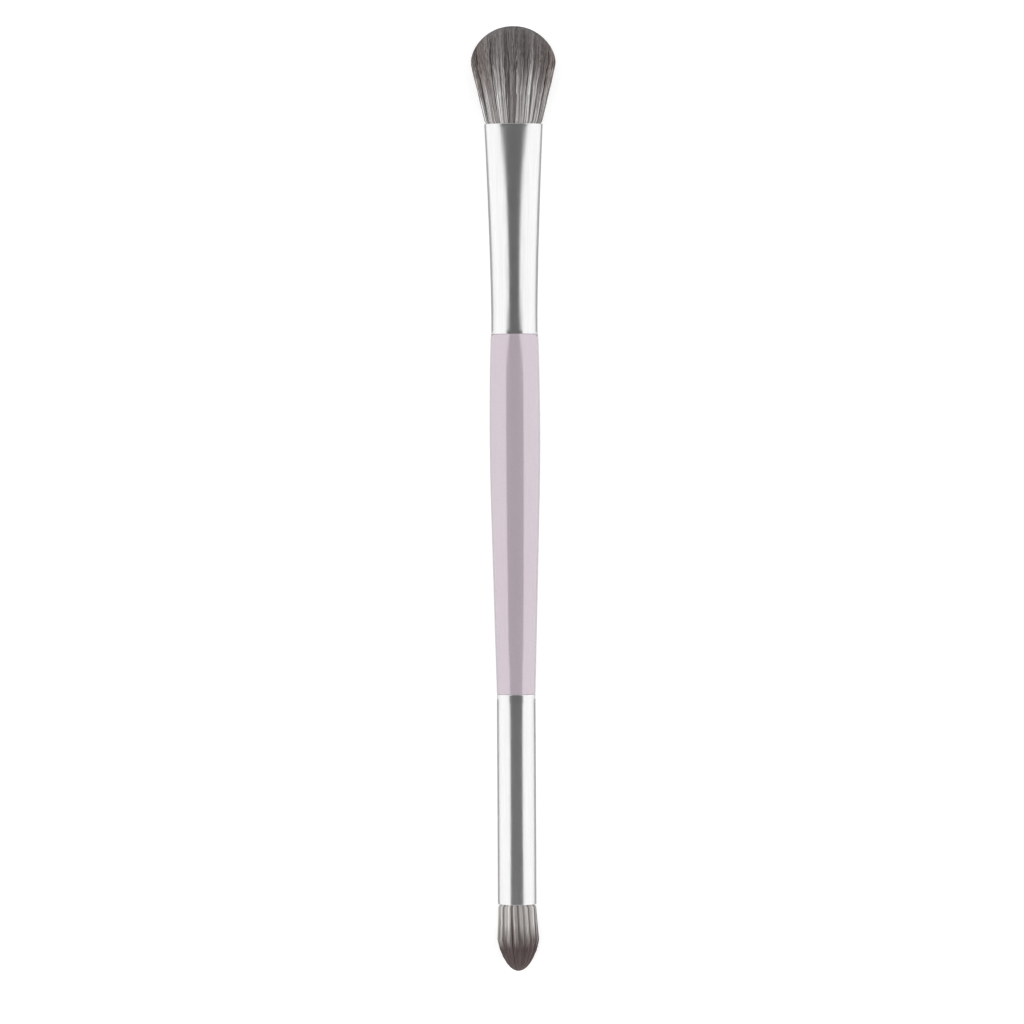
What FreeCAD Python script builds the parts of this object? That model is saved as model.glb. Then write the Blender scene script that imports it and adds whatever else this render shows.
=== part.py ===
# A double-ended eye make-up brush: a turned and lacquered wooden handle with an
# aluminium ferrule glued on each end. The head ferrule is a round tube pressed oval at
# its mouth and holds a wide fluffy tuft. The tip ferrule stays round and holds a small
# bullet-shaped tuft. Each tuft is a bundle of hair, tied with thread near its root and
# set in a plug of glue inside the ferrule.
#
# Each piece is drawn upright in millimetres: +Z runs up the brush from the tip, and the
# wide side of the head lies across X. The pieces are then laid down together, as the
# brush rests on a table: on the fluffy tuft and on the bullet, with the head towards +Y,
# its wide side up, and the origin under the middle.
import FreeCAD, Part
import math
import os
import re
import Sketcher

# Driving sizes.
DRIVING = {
    # Head ferrule, round at the handle and pressed oval at its mouth
    "head_tube_diameter": 8.8,
    "head_ferrule_length": 40.0,
    "head_round_stretch": 4.0,
    "mouth_spread": 1.15,
    "press_ease": 1.4,
    # Tip ferrule, round all along
    "tip_tube_diameter": 7.35,
    "tip_ferrule_length": 40.0,
    # Both ferrules
    "tube_wall": 0.4,
    "rim_bevel": 0.1,
    # Handle
    "handle_length": 68.5,
    "belly_rise": 0.4,
    "belly_below_shoulder": 18.0,
    "belly_curve_length": 15.0,
    "edge_bevel": 0.12,
    "head_spigot_length": 14.0,
    "tip_spigot_length": 18.0,
    "spigot_bevel": 0.8,
    "glue_line": 0.05,
    # Hair of both tufts: how it fills a mouth
    "hair_clearance": 0.05,
    # Fluffy head tuft, with the collar where it springs out over the ferrule's lip
    "head_splay_wide": 2.975,
    "head_splay_thick": 2.87,
    "head_flare_length": 11.8,
    "collar_swell": 0.52,
    "collar_height": 1.0,
    "shoulder_drop": 0.8,
    "shoulder_ease": 0.09,
    "dome_height": 6.8,
    "crown_flat": 0.1,
    "head_root_depth": 20.0,
    # Bullet tip tuft
    "lip_swell": 0.4,
    "lip_swell_length": 0.5,
    "tip_splay": 0.73,
    "tip_flare_length": 6.8,
    "nose_length": 6.0,
    "nose_flat": 0.12,
    "nose_fade": 0.18,
    "tip_root_depth": 16.0,
    # Partings between the locks of hair
    "head_parting_width": 0.14,
    "head_parting_depth": 0.4,
    "tip_parting_width": 0.12,
    "tip_parting_depth": 0.3,
    # Thread ties and the roots that they hold
    "thread_diameter": 0.35,
    "thread_pitch": 0.38,
    "tie_setback": 1.5,
    "tie_room": 0.2,
    "knot_length": 5.0,
    "neck_length": 2.0,
    # Glue plugs
    "seat_gap": 0.02,
    "glue_cover": 4.0,
}

# Whole numbers: partings across the head's wide faces and down each of its narrow ends,
# partings round the tip, and the turns of thread in a tie.
COUNTS = {
    "head_partings": 7,
    "end_partings": 1,
    "tip_partings": 10,
    "tie_turns": 2,
}

# Sizes that follow from the driving ones.
DERIVED = {
    # Stations along the brush, from the tip up
    "tip_mouth": "nose_length + tip_flare_length",
    "handle_foot": "tip_mouth + tip_ferrule_length",
    "handle_shoulder": "handle_foot + handle_length",
    "head_mouth": "handle_shoulder + head_ferrule_length",
    "head_widest": "head_mouth + head_flare_length",
    "crown": "head_widest + dome_height",
    # Ferrules: pressing keeps the girth of the tube, so it gets thinner as it spreads
    "head_tube_radius": "head_tube_diameter / 2",
    "tip_tube_radius": "tip_tube_diameter / 2",
    "tip_bore_radius": "tip_tube_radius - tube_wall",
    "pressed_length": "head_ferrule_length - head_round_stretch",
    "press_start": "handle_shoulder + head_round_stretch",
    "mouth_thin": "mouth_spread + mouth_spread ^ 2 / head_tube_diameter",
    "rim_cut": "min(rim_bevel; tube_wall * 0.4)",
    # Handle
    "belly_station": "handle_shoulder - belly_below_shoulder",
    "belly_radius": "max(head_tube_radius; tip_tube_radius) + belly_rise",
    "head_spigot_radius": "head_tube_radius - tube_wall - glue_line",
    "tip_spigot_radius": "tip_bore_radius - glue_line",
    "head_spigot_end": "handle_shoulder + head_spigot_length",
    "tip_spigot_end": "handle_foot - tip_spigot_length",
    # Head tuft: half sizes at the mouth, over the collar, and at its widest
    "mouth_hair_wide": "head_tube_radius + mouth_spread - tube_wall - hair_clearance",
    "mouth_hair_thick": "head_tube_radius - mouth_thin - tube_wall - hair_clearance",
    "head_half_wide": "mouth_hair_wide + head_splay_wide",
    "head_half_thick": "mouth_hair_thick + head_splay_thick",
    "flatness": "head_half_thick / head_half_wide",
    "collar_wide": "mouth_hair_wide + collar_swell",
    "collar_top": "head_mouth + collar_height",
    "head_shoulder": "head_widest - shoulder_drop",
    "shoulder_wide": "head_half_wide - shoulder_ease",
    "fan_slope": "(head_half_wide - collar_wide) / (head_flare_length - collar_height)",
    # Tip tuft
    "tip_mouth_hair": "tip_bore_radius - hair_clearance",
    "tip_lip_hair": "tip_mouth_hair + lip_swell",
    "bullet_radius": "tip_mouth_hair + tip_splay",
    "tip_lip_station": "tip_mouth - lip_swell_length",
    # Roots and ties: a knot leaves room for its thread in the narrowest part of the bore
    "tie_length": "thread_pitch * tie_turns",
    "head_root_end": "head_mouth - head_root_depth",
    "head_tie_station": "head_root_end + tie_setback",
    "tie_top_share": "max((head_tie_station + tie_length - press_start) / pressed_length; 0)",
    "spread_at_tie": "mouth_spread * tie_top_share ^ press_ease",
    "thin_at_tie": "spread_at_tie + spread_at_tie ^ 2 / head_tube_diameter",
    "tie_allowance": "tube_wall + tie_room + thread_diameter + seat_gap",
    "head_knot_radius": "head_tube_radius - thin_at_tie - tie_allowance",
    "tip_knot_radius": "tip_tube_radius - tie_allowance",
    "tip_root_end": "tip_mouth + tip_root_depth",
    "tip_neck": "tip_root_end - knot_length - neck_length",
    "tip_tie_station": "tip_root_end - tie_setback - tie_length",
    # Lying pose: which way the axis leans, and how high the tip is held
    "lie_tilt": "atan((head_half_thick - bullet_radius) / (head_widest - nose_length))",
    "lie_turn": "lie_tilt - 90 deg",
    "lift_at_bullet": "bullet_radius * cos(lie_tilt) - nose_length * sin(lie_tilt)",
    "lift_at_belly": "belly_radius * cos(lie_tilt) - belly_station * sin(lie_tilt)",
    "lie_lift": "max(lift_at_bullet; lift_at_belly)",
    "lie_back": "crown / -2 * cos(lie_tilt)",
}

PRESS_SECTIONS = 10  # steps in which the ferrule's oval grows towards the mouth
NOSE_SECTIONS = 5  # steps in which the bullet widens from its nose to its shoulder
NOSE_SPACING = 1.6  # how closely they lie at the nose
NOSE_RISE = 1.3  # how full the bullet is
FLARE_SECTIONS = 1  # steps in which the fluffy tuft widens above its collar
HEAD_SIDES = 32  # flat sides round the fluffy tuft
DOME_SECTIONS = 4  # steps in which the dome of the fluffy tuft rounds over to its crown
CORE_SECTIONS = 1  # the same for the core that the partings reach down to
DOME_RISE = 1.7  # how flat the dome starts above its widest part, and how full it stays
DOME_ROUND = 0.48
UNEVEN = 0.24  # how far a parting wanders, as a share of the room between two
WANDER = 2.4  # radians from one parting's wander to the next
FAN_REACH = 0.9  # how far out the last of the head's fanned partings lies: 1 is the rim
END_REACH = 0.95  # how far in the partings of the narrow ends reach
END_SPACING = 9.0  # degrees between them, about the axis

doc = FreeCAD.newDocument("double_ended_brush")
sheet = doc.addObject("Spreadsheet::Sheet", "Sizes")
for row, (alias, value) in enumerate({**DRIVING, **COUNTS, **DERIVED}.items(), start=1):
    sheet.set(f"A{row}", alias)
    sheet.set(f"B{row}", f"={value}" if alias in DERIVED else str(value))
    sheet.setAlias(f"B{row}", alias)
doc.recompute()

ALIASES = re.compile(r"\b(" + "|".join({**DRIVING, **COUNTS, **DERIVED}) + r")\b")


def size(alias):
    """The value of one size, as a plain number."""
    return float(sheet.get(alias))


def work_out(formula):
    """The value that a formula of sizes has now, as a plain number."""
    sheet.set("D1", "=" + formula)
    sheet.recompute()
    return float(sheet.get("D1"))


def bind(feature, **formulas):
    """Ties properties of a feature to the sheet; a double underscore stands for a dot."""
    for name, formula in formulas.items():
        feature.setExpression(name.replace("__", "."), ALIASES.sub(r"Sizes.\1", formula))


def place(feature, base=("0", "0", "0"), axis=(0, 0, 1), angle="0 deg"):
    """Puts a feature at a point given by three formulas, turned about an axis."""
    turn = f"rotation(vector({axis[0]}; {axis[1]}; {axis[2]}); {angle})"
    bind(feature, Placement=f"placement(vector({'; '.join(base)}); {turn})")


def lay_down(feature, label):
    """Names a finished piece and lays it on the table with the others."""
    feature.Label = label
    place(feature, ("0", "lie_back", "lie_lift"), (1, 0, 0), "lie_turn")
    return feature


def ring(name, station, wide, thick=None):
    """A closed curve across the brush: a circle, or an ellipse that is wide across X."""
    if thick is None:
        curve = doc.addObject("Part::Circle", name)
        bind(curve, Radius=wide)
    else:
        curve = doc.addObject("Part::Ellipse", name)
        bind(curve, MajorRadius=wide, MinorRadius=thick)
    place(curve, ("0", "0", station))
    return curve


def loft(name, rings):
    """A solid that runs straight from each ring to the next."""
    solid = doc.addObject("Part::Loft", name)
    solid.Sections = rings
    solid.Solid = True
    solid.Ruled = True
    return solid


def cut(name, base, tool):
    solid = doc.addObject("Part::Cut", name)
    solid.Base = base
    solid.Tool = tool
    return solid


def cylinder(name, station, radius, height):
    solid = doc.addObject("Part::Cylinder", name)
    bind(solid, Radius=radius, Height=height)
    place(solid, ("0", "0", station))
    return solid


def edges_at(shape, station):
    """Indices of the edges that lie in the plane across the brush at a station."""
    level = size(station)
    flat = 1e-4
    return [
        index
        for index, edge in enumerate(shape.Edges, start=1)
        if all(abs(edge.valueAt(t).z - level) < flat for t in edge.ParameterRange)
        and abs(edge.CenterOfMass.z - level) < flat
    ]


class Profile:
    """A half outline in a body's upright plane, fully held by the sheet, for turning."""

    def __init__(self, body, name):
        self.sketch = body.newObject("Sketcher::SketchObject", name)
        plane = next(f for f in body.Origin.OriginFeatures if f.Role == "XZ_Plane")
        self.sketch.AttachmentSupport = (plane, [""])
        self.sketch.MapMode = "FlatFace"

    def line(self, start, end):
        points = [FreeCAD.Vector(x, z, 0) for x, z in (start, end)]
        return self.sketch.addGeometry(Part.LineSegment(*points))

    def chain(self, points):
        """Adds lines through points and joins each to the next."""
        lines = [self.line(a, b) for a, b in zip(points, points[1:])]
        for first, second in zip(lines, lines[1:]):
            self.join(first, 2, second, 1)
        return lines

    def join(self, first, first_end, second, second_end):
        rule = Sketcher.Constraint("Coincident", first, first_end, second, second_end)
        self.sketch.addConstraint(rule)

    def fix(self, element, end, across=None, along=None):
        """Holds a point by its distance from the axis, its station, or both."""
        for kind, formula, axis in (("DistanceX", across, -2), ("DistanceY", along, -1)):
            if formula == "0":
                self.sketch.addConstraint(Sketcher.Constraint("PointOnObject", element, end, axis))
            elif formula:
                self.measure(kind, element, end, formula)

    def measure(self, kind, element, end, formula):
        now = getattr(self.sketch.getPoint(element, end), "x" if kind == "DistanceX" else "y")
        rule = Sketcher.Constraint(kind, -1, 1, element, end, now)
        self.tie(self.sketch.addConstraint(rule), formula)

    def tie(self, index, formula):
        bind(self.sketch, **{f"Constraints[{index}]": formula})

    def close(self, corners):
        """Draws a closed run of lines through corners given by pairs of formulas."""
        now = [tuple(work_out(formula) for formula in corner) for corner in corners]
        lines = self.chain(now + now[:1])
        self.join(lines[-1], 2, lines[0], 1)
        for line, (across, along) in zip(lines, corners):
            self.fix(line, 1, across, along)

    def turn(self, body, name):
        """Turns the outline into a solid about the brush's axis."""
        solid = body.newObject("PartDesign::Revolution", name)
        solid.Profile = self.sketch
        solid.ReferenceAxis = (self.sketch, ["V_Axis"])
        solid.Angle = 360.0
        doc.recompute()
        return solid


def make_handle():
    """The turned handle: a long belly, a straight taper to the foot, and two spigots."""
    body = doc.addObject("PartDesign::Body", "HandleBody")
    outline = Profile(body, "HandleOutline")
    foot, shoulder, belly = size("handle_foot"), size("handle_shoulder"), size("belly_station")
    tip_end, head_end = size("tip_spigot_end"), size("head_spigot_end")
    tip_spigot, head_spigot = size("tip_spigot_radius"), size("head_spigot_radius")
    bevel, foot_radius, belly_radius = size("spigot_bevel"), size("tip_tube_radius"), size("belly_radius")
    edge = size("edge_bevel")

    # The arc of the belly runs from the straight taper to the shoulder, and this is its
    # radius where it meets the taper without a kink.
    run = size("belly_curve_length")
    radius = run * (belly - foot - run / 2) / (belly_radius - foot_radius)
    centre = FreeCAD.Vector(belly_radius - radius, belly, 0)
    low_angle = -math.asin(run / radius)
    high_angle = math.asin((shoulder - edge - belly) / radius)
    taper_top = (centre.x + radius * math.cos(low_angle), belly - run)
    shoulder_edge = (centre.x + radius * math.cos(high_angle), shoulder - edge)

    lower = outline.chain([
        (0, tip_end),
        (tip_spigot - bevel, tip_end),
        (tip_spigot, tip_end + bevel),
        (tip_spigot, foot),
        (foot_radius - edge, foot),
        (foot_radius, foot + edge),
        taper_top,
    ])
    sketch = outline.sketch
    circle = Part.Circle(centre, FreeCAD.Vector(0, 0, 1), radius)
    arc = sketch.addGeometry(Part.ArcOfCircle(circle, low_angle, high_angle))
    upper = outline.chain([
        shoulder_edge,
        (shoulder_edge[0] - edge, shoulder),
        (head_spigot, shoulder),
        (head_spigot, head_end - bevel),
        (head_spigot - bevel, head_end),
        (0, head_end),
        (0, tip_end),
    ])
    outline.join(arc, 2, upper[0], 1)
    outline.join(upper[-1], 2, lower[0], 1)
    sketch.addConstraint(Sketcher.Constraint("Tangent", lower[-1], 2, arc, 1))

    crest = sketch.addGeometry(Part.Point(FreeCAD.Vector(belly_radius, belly, 0)), True)
    outline.fix(crest, 1, "belly_radius", "belly_station")
    sketch.addConstraint(Sketcher.Constraint("PointOnObject", crest, 1, arc))
    outline.fix(arc, 3, along="belly_station")
    outline.fix(arc, 1, along="belly_station - belly_curve_length")

    outline.fix(lower[0], 1, "0", "tip_spigot_end")
    outline.fix(lower[0], 2, "tip_spigot_radius - spigot_bevel", "tip_spigot_end")
    outline.fix(lower[1], 2, "tip_spigot_radius", "tip_spigot_end + spigot_bevel")
    outline.fix(lower[2], 2, "tip_spigot_radius", "handle_foot")
    outline.fix(lower[3], 2, "tip_tube_radius - edge_bevel", "handle_foot")
    outline.fix(lower[4], 2, "tip_tube_radius", "handle_foot + edge_bevel")
    outline.fix(upper[0], 1, along="handle_shoulder - edge_bevel")
    outline.fix(upper[0], 2, along="handle_shoulder")
    inward = Sketcher.Constraint("DistanceX", upper[0], 2, upper[0], 1, edge)
    outline.tie(sketch.addConstraint(inward), "edge_bevel")
    outline.fix(upper[1], 2, "head_spigot_radius", "handle_shoulder")
    outline.fix(upper[2], 2, "head_spigot_radius", "head_spigot_end - spigot_bevel")
    outline.fix(upper[3], 2, "head_spigot_radius - spigot_bevel", "head_spigot_end")
    outline.fix(upper[4], 2, "0", "head_spigot_end")
    outline.turn(body, "TurnedHandle")
    return lay_down(body, "handle")


def make_tip_ferrule():
    """The plain round tube, with the edges of both rims broken."""
    body = doc.addObject("PartDesign::Body", "TipFerruleBody")
    outline = Profile(body, "TubeWall")
    outline.close([
        ("tip_bore_radius + rim_cut", "tip_mouth"),
        ("tip_tube_radius - rim_cut", "tip_mouth"),
        ("tip_tube_radius", "tip_mouth + rim_cut"),
        ("tip_tube_radius", "handle_foot - rim_cut"),
        ("tip_tube_radius - rim_cut", "handle_foot"),
        ("tip_bore_radius + rim_cut", "handle_foot"),
        ("tip_bore_radius", "handle_foot - rim_cut"),
        ("tip_bore_radius", "tip_mouth + rim_cut"),
    ])
    outline.turn(body, "Tube")
    return lay_down(body, "tip_ferrule")


def pressed_tube(name, inset):
    """The room inside the pressed tube's outer skin, drawn in from it by an inset."""
    rings = [ring(f"{name}Foot", "handle_shoulder", f"head_tube_radius - {inset}")]
    for step in range(PRESS_SECTIONS + 1):
        share = step / PRESS_SECTIONS
        spread = f"mouth_spread * {share} ^ press_ease"
        thinned = f"{spread} + ({spread}) ^ 2 / head_tube_diameter"
        rings.append(ring(
            f"{name}Oval{step}",
            f"press_start + pressed_length * {share}",
            f"head_tube_radius + {spread} - {inset}",
            f"head_tube_radius - ({thinned}) - {inset}",
        ))
    return loft(name, rings)


def make_head_ferrule():
    """The tube pressed oval at its mouth, with the edges of both rims broken."""
    tube = cut("PressedTube", pressed_tube("TubeSkin", "0"), pressed_tube("TubeBore", "tube_wall"))
    doc.recompute()
    rims = doc.addObject("Part::Chamfer", "PressedRims")
    rims.Base = tube
    depth = size("rim_cut")
    edges = edges_at(tube.Shape, "handle_shoulder") + edges_at(tube.Shape, "head_mouth")
    rims.Edges = [(index, depth, depth) for index in edges]
    return lay_down(rims, "head_ferrule")


def fluffy_form(name, flare_steps, dome_steps, drawn_in="0"):
    """The tuft above its collar, over its widest part to its crown, before it is flattened.

    It has flat sides, so that each lock of hair is a few plain faces.
    """
    rings = []

    def add(station, radius):
        side = doc.addObject("Part::RegularPolygon", f"{name}Ring{len(rings) + 1}")
        side.Polygon = HEAD_SIDES
        bind(side, Circumradius=f"{radius} - {drawn_in}")
        place(side, ("0", "0", station))
        rings.append(side)

    for step in range(flare_steps + 1):
        share = step / flare_steps
        add(
            f"collar_top + (head_shoulder - collar_top) * {share:.5f}",
            f"(collar_wide + (shoulder_wide - collar_wide) * {share:.5f})",
        )
    for step in range(dome_steps):
        rise = math.sin(math.radians(90 * step / dome_steps))
        width = (1 - rise ** DOME_RISE) ** DOME_ROUND
        add(f"head_widest + (dome_height - {drawn_in}) * {rise:.5f}", f"head_half_wide * {width:.5f}")
    add(f"crown - {drawn_in}", f"head_half_wide * crown_flat + {drawn_in}")
    return loft(name, rings)


def wandering(index, count):
    """Where a parting lies from -1 to 1 across the tuft, a little off even spacing."""
    return (2 * index + 1 - count + UNEVEN * 2 * math.sin(WANDER * index)) / count


def bundle(name, blades):
    together = doc.addObject("Part::Compound", name)
    together.Links = blades
    return together


def fan(count):
    """Thin blades that radiate as the hair does, from the collar to beyond the crown."""
    blades = []
    for index in range(count):
        share = f"({FAN_REACH * wandering(index, count):.5f})"
        lean = f"atan({share} * fan_slope)"
        blade = doc.addObject("Part::Box", f"Parting{index + 1}")
        bind(
            blade,
            Length="head_parting_width",
            Width="2 * head_half_wide",
            Height="(crown - collar_top) * 1.2",
        )
        side = f"{share} * collar_wide - head_parting_width / 2 * cos({lean})"
        foot = f"collar_top + hair_clearance + head_parting_width / 2 * sin({lean})"
        place(blade, (side, "-head_half_wide", foot), (0, 1, 0), lean)
        blades.append(blade)
    return blades


def radial_blade(name, width, start, foot, height, bearing, lean="0 deg"):
    """A thin blade that stands out from the axis on a bearing, from a start radius."""
    blade = doc.addObject("Part::Box", name)
    bind(blade, Length=start, Width=width, Height=height)
    out = f"{start} * cos({bearing}) + {width} / 2 * sin({bearing})"
    over = f"{start} * sin({bearing}) - {width} / 2 * cos({bearing})"
    turn = f"rotation(vector(0; 0; 1); {bearing}) * rotation(vector(0; 1; 0); {lean})"
    bind(blade, Placement=f"placement(vector({out}; {over}; {foot}); {turn})")
    return blade


def narrow_end_blades(count):
    """Short blades for the two narrow ends, leaning out with the hair there."""
    blades = []
    for side in (0, 180):
        for index in range(count):
            off = END_SPACING * (index - (count - 1) / 2)
            blades.append(radial_blade(
                f"End{side}Parting{index + 1}",
                "head_parting_width",
                f"(collar_wide * {END_REACH})",
                "collar_top + hair_clearance",
                "(head_widest - collar_top) * 1.5",
                f"({side + off:.2f} deg)",
                f"atan(fan_slope * {END_REACH})",
            ))
    return blades


def make_head_tuft():
    """The fluffy tuft: a flattened, fanned dome of locks on a root that fills the ferrule."""
    hair = fluffy_form("HeadHair", FLARE_SECTIONS, DOME_SECTIONS)
    core = fluffy_form("HeadCore", 1, CORE_SECTIONS, "head_parting_depth")
    blades = fan(int(size("head_partings"))) + narrow_end_blades(int(size("end_partings")))
    locks = cut("PartedHead", hair, cut("HeadSlits", bundle("HeadPartings", blades), core))
    flat = doc.addObject("Part::Scale", "FlatLocks")
    flat.Base = locks
    flat.Uniform = False
    bind(flat, YScale="flatness")
    collar = loft("HeadCollar", [
        ring("HeadMouthHair", "head_mouth", "mouth_hair_wide", "mouth_hair_thick"),
        ring("HeadCollarTop", "collar_top", "collar_wide", "collar_wide * flatness"),
    ])
    neck = "head_root_end + knot_length"
    root = doc.addObject("Part::Common", "HeadRoot")
    root.Base = pressed_tube("RootedBore", "(tube_wall + hair_clearance)")
    root.Tool = cylinder("HeadRootSlab", neck, "head_tube_diameter", f"head_mouth - ({neck})")
    knot = cylinder("HeadKnot", "head_root_end", "head_knot_radius", "knot_length * 1.2")
    tuft = doc.addObject("Part::MultiFuse", "HeadTuft")
    tuft.Shapes = [flat, collar, root, knot]
    return lay_down(tuft, "head_tuft")


def make_tip_tuft():
    """The bullet-shaped tuft: turned about the axis, then parted into locks all round."""
    body = doc.addObject("PartDesign::Body", "BulletBody")
    outline = Profile(body, "BulletOutline")
    nose = [("bullet_radius * nose_flat", "0")]
    for step in range(1, NOSE_SECTIONS + 1):
        along = (step / NOSE_SECTIONS) ** NOSE_SPACING
        width = (1 - (1 - along) ** NOSE_RISE) ** 0.5
        nose.append((f"bullet_radius * {width:.5f}", f"nose_length * {along:.5f}"))
    side = nose + [
        ("tip_lip_hair", "tip_lip_station"),
        ("tip_mouth_hair", "tip_mouth"),
        ("tip_mouth_hair", "tip_neck"),
        ("tip_knot_radius", "tip_neck + neck_length"),
        ("tip_knot_radius", "tip_root_end"),
        ("0", "tip_root_end"),
        ("0", "0"),
    ]
    outline.close(side)
    outline.turn(body, "Bullet")

    # The partings reach down to a core that stands proud of the nose, so they fade there.
    fade = "nose_length * nose_fade"
    core = loft("BulletCore", [
        ring("CoreNose", fade, "bullet_radius / 2"),
        ring("CoreShoulder", "nose_length", "bullet_radius - tip_parting_depth"),
        ring("CoreLip", "tip_lip_station", "tip_lip_hair - tip_parting_depth"),
        ring("CoreMouth", "tip_mouth", "tip_mouth_hair - tip_parting_depth"),
    ])
    count = int(size("tip_partings"))
    blades = [
        radial_blade(
            f"BulletParting{index + 1}",
            "tip_parting_width",
            "(bullet_radius / 2.5)",
            fade,
            f"tip_mouth - hair_clearance - {fade}",
            f"({180 * wandering(index, count):.3f} deg)",
        )
        for index in range(count)
    ]
    tuft = cut("PartedBullet", body, cut("BulletSlits", bundle("BulletPartings", blades), core))
    return lay_down(tuft, "tip_tuft")


def make_tie(name, station, knot_radius, label):
    """Thread wound round a knot: one band, with a ridge for each turn."""
    body = doc.addObject("PartDesign::Body", f"{name}Body")
    outline = Profile(body, f"{name}Outline")
    inner = f"{knot_radius} + seat_gap"
    valley, outer = f"{inner} + thread_diameter / 2", f"{inner} + thread_diameter"
    turns = int(size("tie_turns"))
    band = [(inner, station)]
    for turn in range(turns):
        band.append((valley, f"{station} + thread_pitch * {turn}"))
        band.append((outer, f"{station} + thread_pitch * {turn + 0.5}"))
    band.append((valley, f"{station} + tie_length"))
    band.append((inner, f"{station} + tie_length"))
    outline.close(band)
    outline.turn(body, f"{name}Winding")
    return lay_down(body, label)


def make_glue_plug(name, fill, root, knot_radius, tie_station, label):
    """Set glue that fills the bore round a root, less the room of the root and its tie."""
    hair = cylinder(f"{name}Root", root[0], f"{knot_radius} + seat_gap", root[1])
    winding = cylinder(
        f"{name}TieRoom",
        f"{tie_station} - seat_gap",
        f"{knot_radius} + thread_diameter + 2 * seat_gap",
        "tie_length + 2 * seat_gap",
    )
    plug = cut(f"{name}Plug", cut(f"{name}Cast", fill, hair), winding)
    return lay_down(plug, label)


def make_head_glue_plug():
    """Glue from the end of the head spigot to a little way up round the root."""
    low = "head_spigot_end + seat_gap"
    top = "head_root_end + glue_cover"
    slab = cylinder("HeadGlueSlab", low, "head_tube_diameter", f"{top} - ({low})")
    fill = doc.addObject("Part::Common", "HeadGlueFill")
    fill.Base = pressed_tube("GluedBore", "tube_wall - seat_gap")
    fill.Tool = slab
    root = ("head_root_end - seat_gap", "glue_cover + 2 * seat_gap")
    return make_glue_plug("HeadGlue", fill, root, "head_knot_radius", "head_tie_station", "head_glue_plug")


def make_tip_glue_plug():
    """Glue from a little way along the tip's root to the end of the tip spigot."""
    low = "tip_root_end - glue_cover"
    top = "tip_spigot_end - seat_gap"
    fill = cylinder("TipGlueFill", low, "tip_bore_radius - seat_gap", f"{top} - ({low})")
    root = (f"{low} - seat_gap", "glue_cover + 2 * seat_gap")
    return make_glue_plug("TipGlue", fill, root, "tip_knot_radius", "tip_tie_station", "tip_glue_plug")


def export(pieces):
    """Stops on any failed object or bad solid, then writes one file for each piece."""
    doc.recompute()
    failed = [o.Name for o in doc.Objects if {"Invalid", "Error"} & set(o.State)]
    if failed:
        raise RuntimeError(f"objects that failed: {failed}")
    for piece in pieces:
        shape = piece.Shape
        if shape.isNull() or not shape.isValid() or len(shape.Solids) != 1:
            raise RuntimeError(f"{piece.Label} is not one good solid")
    os.makedirs("parts", exist_ok=True)
    for piece in pieces:
        piece.Shape.exportStep(f"parts/{piece.Label}.step")
        print(f"{piece.Label}: {piece.Shape.Volume:.1f} mm3, {len(piece.Shape.Faces)} faces")


export([
    make_handle(),
    make_head_ferrule(),
    make_tip_ferrule(),
    make_head_tuft(),
    make_tip_tuft(),
    make_tie("HeadTie", "head_tie_station", "head_knot_radius", "head_tie_thread"),
    make_tie("TipTie", "tip_tie_station", "tip_knot_radius", "tip_tie_thread"),
    make_head_glue_plug(),
    make_tip_glue_plug(),
])
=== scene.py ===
# A double ended makeup brush lying on a white table, seen from above: a pearly lilac
# handle, two bright ferrules, a wide fluffy tuft and a small bullet tuft. Pieces are made
# upright in millimetres, with Z up the brush from its small tip, and then laid down.
import math

import bpy
import numpy as np
from mathutils import Matrix, Vector


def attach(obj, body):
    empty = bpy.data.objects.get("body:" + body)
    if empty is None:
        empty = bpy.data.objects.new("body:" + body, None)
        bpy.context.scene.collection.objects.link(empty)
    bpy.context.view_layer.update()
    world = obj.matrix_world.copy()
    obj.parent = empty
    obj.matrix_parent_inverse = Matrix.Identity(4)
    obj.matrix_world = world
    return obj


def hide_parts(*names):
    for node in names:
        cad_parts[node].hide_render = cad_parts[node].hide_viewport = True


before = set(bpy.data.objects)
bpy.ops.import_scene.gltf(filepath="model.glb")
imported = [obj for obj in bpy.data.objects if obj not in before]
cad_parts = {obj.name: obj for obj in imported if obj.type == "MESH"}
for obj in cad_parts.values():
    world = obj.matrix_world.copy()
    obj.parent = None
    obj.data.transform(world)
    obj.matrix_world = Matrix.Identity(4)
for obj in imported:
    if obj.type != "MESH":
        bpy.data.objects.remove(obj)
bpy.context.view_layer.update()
MM = 0.001

# sizes in millimetres
TIP_MOUTH = 12.8
HANDLE_FOOT = 52.8
HANDLE_SHOULDER = 121.3
HEAD_MOUTH = 161.3
CROWN = 179.9

TUBE_R = 4.4
TIP_R = 3.675
WALL = 0.4
GLUE_LINE = 0.05
TIP_SPIGOT = 18.0
HEAD_SPIGOT = 14.0
SPIGOT_BEVEL = 0.8
ROUND_LENGTH = 4.0
PRESS_START = HANDLE_SHOULDER + ROUND_LENGTH
PRESS_LENGTH = 36.0
SPREAD = 1.15
PRESS_EASE = 1.4

MOUTH_WIDE = 5.1
MOUTH_THICK = 2.65
COLLAR_WIDE = 5.62
HALF_WIDE = 8.075
HALF_THICK = 5.52
BULLET_R = 3.955
TIP_HAIR = 3.225
LIP_HAIR = 3.625
COLLAR_RISE = 1.0
SHOULDER_WIDE = 7.985
FAN_TOP = 11.0
FLARE = 11.8
DOME = 6.8
SHOULDER = 6.8
NOSE = 6.0

# It rests on both tufts where they are thickest.
LEAN = math.atan((HALF_THICK - BULLET_R) / (HEAD_MOUTH + FLARE - NOSE))
LIFT = BULLET_R * math.cos(LEAN) - NOSE * math.sin(LEAN)
BACK = -CROWN / 2 * math.cos(LEAN)
LAY = (
    Matrix.Translation((0, BACK * MM, LIFT * MM))
    @ Matrix.Rotation(LEAN - math.pi / 2, 4, "X")
    @ Matrix.Scale(MM, 4)
)


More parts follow.
